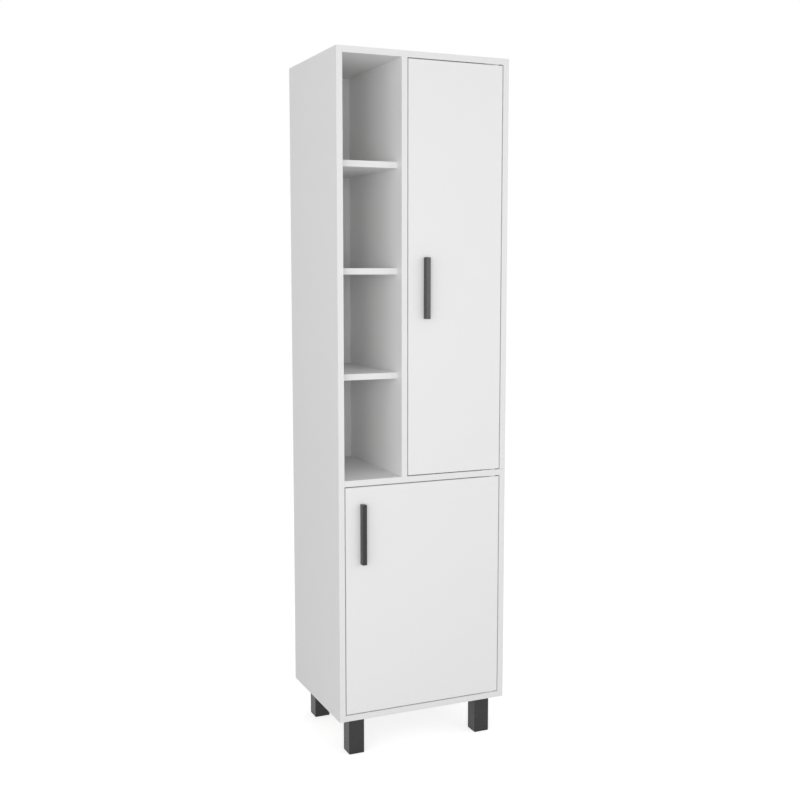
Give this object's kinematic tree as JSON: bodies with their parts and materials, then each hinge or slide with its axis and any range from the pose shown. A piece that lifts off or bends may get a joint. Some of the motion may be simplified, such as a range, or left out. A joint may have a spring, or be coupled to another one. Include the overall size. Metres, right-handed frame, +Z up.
{
  "type": "tall bathroom cabinet",
  "caption": "Tall narrow white storage cabinet on square legs, with an open shelf column beside a tall inset door above a wide inset door.",
  "frame": {"origin": "on the floor under the middle of the whole outline, handles included", "axes": "+Z up, +Y from the doors to the back, +X to the right as seen from the front"},
  "size_m": [0.45, 0.3606, 1.704],
  "materials": {
    "white_board": "particle board with white melamine faces and edges, satin",
    "back_board": "thin hardboard with a white painted face",
    "dark_plastic": "charcoal moulded plastic, fine satin texture",
    "zinc_steel": "bright zinc plating",
    "white_plastic": "moulded white plastic",
    "dowel_wood": "fluted beech",
    "magnet": "black ferrite"
  },
  "bodies": {
    "carcass": {"back_panel_nails": "zinc_steel", "bottom_panel": "white_board", "cam_bolts": "zinc_steel", "cam_lock_nuts": "zinc_steel", "catch_magnets": "magnet", "catch_pole_plates": "zinc_steel", "catch_screws": "zinc_steel", "closet_shelf_high": "white_board", "closet_shelf_low": "white_board", "divider_panel": "white_board", "front_left_leg": "dark_plastic", "front_right_leg": "dark_plastic", "left_lower_side": "white_board", "left_upper_side": "white_board", "leg_glides": "dark_plastic", "leg_screws": "zinc_steel", "lower_back_panel": "back_board", "lower_shelf": "white_board", "magnetic_catches": "white_plastic", "middle_panel": "white_board", "open_shelf_high": "white_board", "open_shelf_low": "white_board", "open_shelf_middle": "white_board", "pivot_pins": "zinc_steel", "pivot_plate_screws": "zinc_steel", "pivot_plates": "zinc_steel", "rear_left_leg": "dark_plastic", "rear_right_leg": "dark_plastic", "right_lower_side": "white_board", "right_upper_side": "white_board", "shelf_pins": "zinc_steel", "top_panel": "white_board", "upper_back_panel": "back_board", "wall_bracket_screws": "zinc_steel", "wall_brackets": "zinc_steel", "wooden_dowels": "dowel_wood"},
    "upper_door": {"upper_door": "white_board", "upper_handle": "dark_plastic", "upper_handle_screws": "zinc_steel", "upper_door_bushings": "white_plastic", "upper_strike_plate": "zinc_steel", "upper_strike_screws": "zinc_steel"},
    "lower_door": {"lower_door": "white_board", "lower_handle": "dark_plastic", "lower_handle_screws": "zinc_steel", "lower_door_bushings": "white_plastic", "lower_strike_plate": "zinc_steel", "lower_strike_screws": "zinc_steel"}
  },
  "joints": [
    {"name": "upper_door_hinge", "type": "hinge", "parent": "carcass", "child": "upper_door", "pos_m": [0.19175, -0.15725, 1.19025], "axis": [0, 0, 1], "range_deg": [0, 130]},
    {"name": "lower_door_hinge", "type": "hinge", "parent": "carcass", "child": "lower_door", "pos_m": [0.19175, -0.15725, 0.39275], "axis": [0, 0, 1], "range_deg": [0, 130]}
  ]
}
